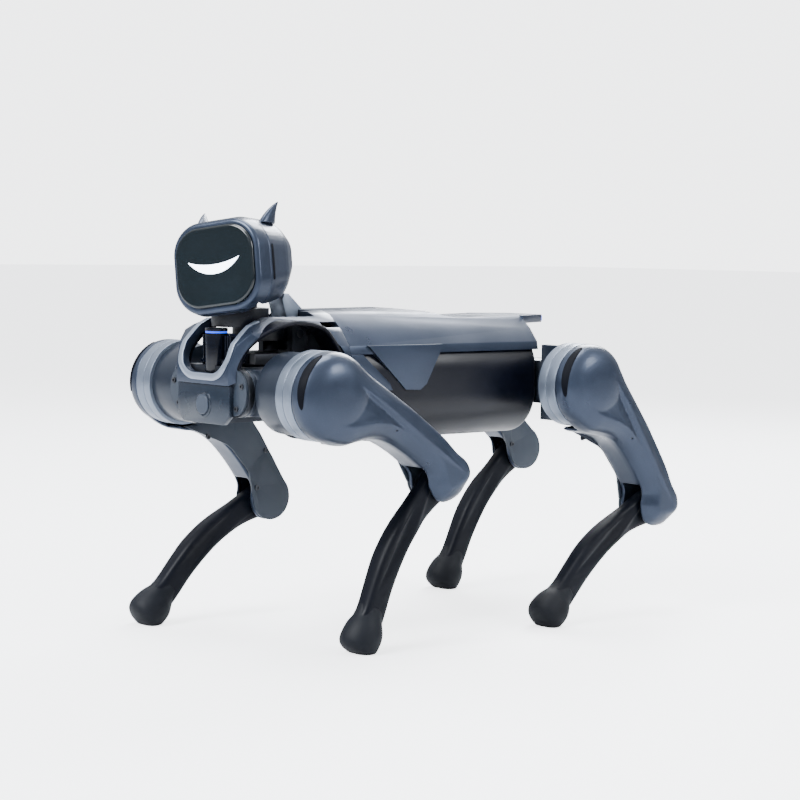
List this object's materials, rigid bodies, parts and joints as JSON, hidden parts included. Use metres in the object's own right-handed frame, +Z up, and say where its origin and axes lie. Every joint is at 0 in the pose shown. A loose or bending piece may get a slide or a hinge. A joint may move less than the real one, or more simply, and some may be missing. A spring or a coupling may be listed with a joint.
{
  "type": "quadruped robot dog",
  "caption": "Walking robot dog with jointed legs driven by flat hip motors and knee rods, a barrel body and a screen-faced head that turns and tilts.",
  "frame": {"origin": "centre of the bounding box on the floor under the robot", "axes": "+X forwards, +Y to the robot's left, +Z up"},
  "size_m": [0.6894, 0.376, 0.5235],
  "materials": {
    "hip_grey": "anodised dark grey, satin",
    "motor_ring": "anodised light grey, satin",
    "shell_blue": "satin gunmetal blue paint",
    "cover_dark": "fine texture, dark",
    "screw_steel": "socket screws",
    "motor_dark": "black anodised",
    "steel": "turned and ground",
    "aluminium": "machined",
    "calf_navy": "moulded, satin",
    "foot_rubber": "moulded rubber",
    "barrel_gloss": "gloss black",
    "chest_grey": "satin to gloss grey",
    "button_plastic": "satin",
    "battery_wrap": "matt case",
    "board_green": "circuit board",
    "sensor_gloss": "smoked gloss window",
    "light_blue": "lit blue diffuser",
    "neck_black": "gloss black",
    "guard_light": "satin light grey paint",
    "face_glass": "dark gloss window",
    "face_light": "lit white diffuser"
  },
  "bodies": {
    "torso": {"chassis_frame": "aluminium", "barrel_shell": "barrel_gloss", "top_cover": "shell_blue", "front_cowl": "shell_blue", "chest_cover": "chest_grey", "bearing_caps": "cover_dark", "body_screws": "screw_steel", "roll_motors": "motor_dark", "battery": "battery_wrap", "main_board": "board_green", "sensor_housing": "sensor_gloss", "status_lights": "light_blue"},
    "power_button": {"power_button": "button_plastic"},
    "neck": {"neck_arm": "neck_black", "neck_guard": "guard_light"},
    "head_yoke": {"head_yoke": "steel"},
    "head": {"head_shell": "shell_blue", "face_bezel": "shell_blue", "face_glass": "face_glass", "face_light": "face_light"},
    "hip_fl": {"hip_housing_fl": "hip_grey", "hip_motor_fl": "motor_ring"},
    "thigh_fl": {"thigh_shell_fl": "shell_blue", "thigh_cover_fl": "cover_dark", "thigh_screws_fl": "screw_steel", "knee_motor_fl": "motor_dark"},
    "crank_fl": {"knee_crank_fl": "steel"},
    "rod_fl": {"knee_rod_fl": "aluminium"},
    "calf_fl": {"calf_fl": "calf_navy", "foot_fl": "foot_rubber"},
    "hip_fr": {"hip_housing_fr": "hip_grey", "hip_motor_fr": "motor_ring"},
    "thigh_fr": {"thigh_shell_fr": "shell_blue", "thigh_cover_fr": "cover_dark", "thigh_screws_fr": "screw_steel", "knee_motor_fr": "motor_dark"},
    "crank_fr": {"knee_crank_fr": "steel"},
    "rod_fr": {"knee_rod_fr": "aluminium"},
    "calf_fr": {"calf_fr": "calf_navy", "foot_fr": "foot_rubber"},
    "hip_rl": {"hip_housing_rl": "hip_grey", "hip_motor_rl": "motor_ring"},
    "thigh_rl": {"thigh_shell_rl": "shell_blue", "thigh_cover_rl": "cover_dark", "thigh_screws_rl": "screw_steel", "knee_motor_rl": "motor_dark"},
    "crank_rl": {"knee_crank_rl": "steel"},
    "rod_rl": {"knee_rod_rl": "aluminium"},
    "calf_rl": {"calf_rl": "calf_navy", "foot_rl": "foot_rubber"},
    "hip_rr": {"hip_housing_rr": "hip_grey", "hip_motor_rr": "motor_ring"},
    "thigh_rr": {"thigh_shell_rr": "shell_blue", "thigh_cover_rr": "cover_dark", "thigh_screws_rr": "screw_steel", "knee_motor_rr": "motor_dark"},
    "crank_rr": {"knee_crank_rr": "steel"},
    "rod_rr": {"knee_rod_rr": "aluminium"},
    "calf_rr": {"calf_rr": "calf_navy", "foot_rr": "foot_rubber"}
  },
  "joints": [
    {"name": "hip_roll_fl", "type": "hinge", "parent": "torso", "child": "hip_fl", "pos_m": [0.26275, 0.05, 0.3], "axis": [1, 0, 0], "range_deg": [-20, 30]},
    {"name": "hip_pitch_fl", "type": "hinge", "parent": "hip_fl", "child": "thigh_fl", "pos_m": [0.26275, 0.15, 0.3], "axis": [0, 1, 0], "range_deg": [-89.5, 40.5]},
    {"name": "knee_fl", "type": "hinge", "parent": "thigh_fl", "child": "calf_fl", "pos_m": [0.0887, 0.148, 0.19748], "axis": [0, 1, 0], "range_deg": [-36, 42]},
    {"name": "knee_crank_fl", "type": "hinge", "parent": "thigh_fl", "child": "crank_fl", "pos_m": [0.26275, 0.171, 0.3], "axis": [0, 1, 0], "range_deg": [-36, 42]},
    {"name": "knee_rod_fl", "type": "hinge", "parent": "crank_fl", "child": "rod_fl", "pos_m": [0.25412, 0.164, 0.31465], "axis": [0, 1, 0], "range_deg": [-42, 36]},
    {"name": "hip_roll_fr", "type": "hinge", "parent": "torso", "child": "hip_fr", "pos_m": [0.26275, -0.05, 0.3], "axis": [-1, 0, 0], "range_deg": [-20, 30]},
    {"name": "hip_pitch_fr", "type": "hinge", "parent": "hip_fr", "child": "thigh_fr", "pos_m": [0.26275, -0.15, 0.3], "axis": [0, 1, 0], "range_deg": [-71.5, 58.5]},
    {"name": "knee_fr", "type": "hinge", "parent": "thigh_fr", "child": "calf_fr", "pos_m": [0.1289, -0.148, 0.14871], "axis": [0, 1, 0], "range_deg": [-36, 42]},
    {"name": "knee_crank_fr", "type": "hinge", "parent": "thigh_fr", "child": "crank_fr", "pos_m": [0.26275, -0.171, 0.3], "axis": [0, 1, 0], "range_deg": [-36, 42]},
    {"name": "knee_rod_fr", "type": "hinge", "parent": "crank_fr", "child": "rod_fr", "pos_m": [0.25002, -0.164, 0.31127], "axis": [0, 1, 0], "range_deg": [-42, 36]},
    {"name": "hip_roll_rl", "type": "hinge", "parent": "torso", "child": "hip_rl", "pos_m": [-0.14725, 0.05, 0.3], "axis": [1, 0, 0], "range_deg": [-20, 30]},
    {"name": "hip_pitch_rl", "type": "hinge", "parent": "hip_rl", "child": "thigh_rl", "pos_m": [-0.14725, 0.15, 0.3], "axis": [0, 1, 0], "range_deg": [-33.5, 71.5]},
    {"name": "knee_rl", "type": "hinge", "parent": "thigh_rl", "child": "calf_rl", "pos_m": [-0.273, 0.148, 0.14191], "axis": [0, 1, 0], "range_deg": [-36, 42]},
    {"name": "knee_crank_rl", "type": "hinge", "parent": "thigh_rl", "child": "crank_rl", "pos_m": [-0.14725, 0.171, 0.3], "axis": [0, 1, 0], "range_deg": [-36, 42]},
    {"name": "knee_rod_rl", "type": "hinge", "parent": "crank_rl", "child": "rod_rl", "pos_m": [-0.16055, 0.164, 0.31058], "axis": [0, 1, 0], "range_deg": [-42, 36]},
    {"name": "hip_roll_rr", "type": "hinge", "parent": "torso", "child": "hip_rr", "pos_m": [-0.14725, -0.05, 0.3], "axis": [-1, 0, 0], "range_deg": [-20, 30]},
    {"name": "hip_pitch_rr", "type": "hinge", "parent": "hip_rr", "child": "thigh_rr", "pos_m": [-0.14725, -0.15, 0.3], "axis": [0, 1, 0], "range_deg": [-51.5, 53.5]},
    {"name": "knee_rr", "type": "hinge", "parent": "thigh_rr", "child": "calf_rr", "pos_m": [-0.3157, -0.148, 0.18851], "axis": [0, 1, 0], "range_deg": [-36, 42]},
    {"name": "knee_crank_rr", "type": "hinge", "parent": "thigh_rr", "child": "crank_rr", "pos_m": [-0.14725, -0.171, 0.3], "axis": [0, 1, 0], "range_deg": [-36, 42]},
    {"name": "knee_rod_rr", "type": "hinge", "parent": "crank_rr", "child": "rod_rr", "pos_m": [-0.15663, -0.164, 0.31418], "axis": [0, 1, 0], "range_deg": [-42, 36]},
    {"name": "neck_lift", "type": "hinge", "parent": "torso", "child": "neck", "pos_m": [0.20775, 0, 0.366], "axis": [0, 1, 0], "range_deg": [-30, 0]},
    {"name": "head_yaw", "type": "hinge", "parent": "neck", "child": "head_yoke", "pos_m": [0.27175, 0, 0.441], "axis": [0, 0, 1], "range_deg": [-50, 20]},
    {"name": "head_roll", "type": "hinge", "parent": "head_yoke", "child": "head", "pos_m": [0.27175, 0, 0.441], "axis": [0.926, 0.3704, 0.0732], "range_deg": [-14, 6]},
    {"name": "power_button", "type": "slide", "parent": "torso", "child": "power_button", "axis": [-1, 0, 0], "range_m": [0, 0.0012], "stiffness_N_per_m": 1500, "springref_m": -0.001}
  ],
  "couplings": [
    {"joint": "knee_crank_fl", "follows": "knee_fl", "ratio": 1},
    {"joint": "knee_rod_fl", "follows": "knee_fl", "ratio": -1},
    {"joint": "knee_crank_fr", "follows": "knee_fr", "ratio": 1},
    {"joint": "knee_rod_fr", "follows": "knee_fr", "ratio": -1},
    {"joint": "knee_crank_rl", "follows": "knee_rl", "ratio": 1},
    {"joint": "knee_rod_rl", "follows": "knee_rl", "ratio": -1},
    {"joint": "knee_crank_rr", "follows": "knee_rr", "ratio": 1},
    {"joint": "knee_rod_rr", "follows": "knee_rr", "ratio": -1}
  ]
}
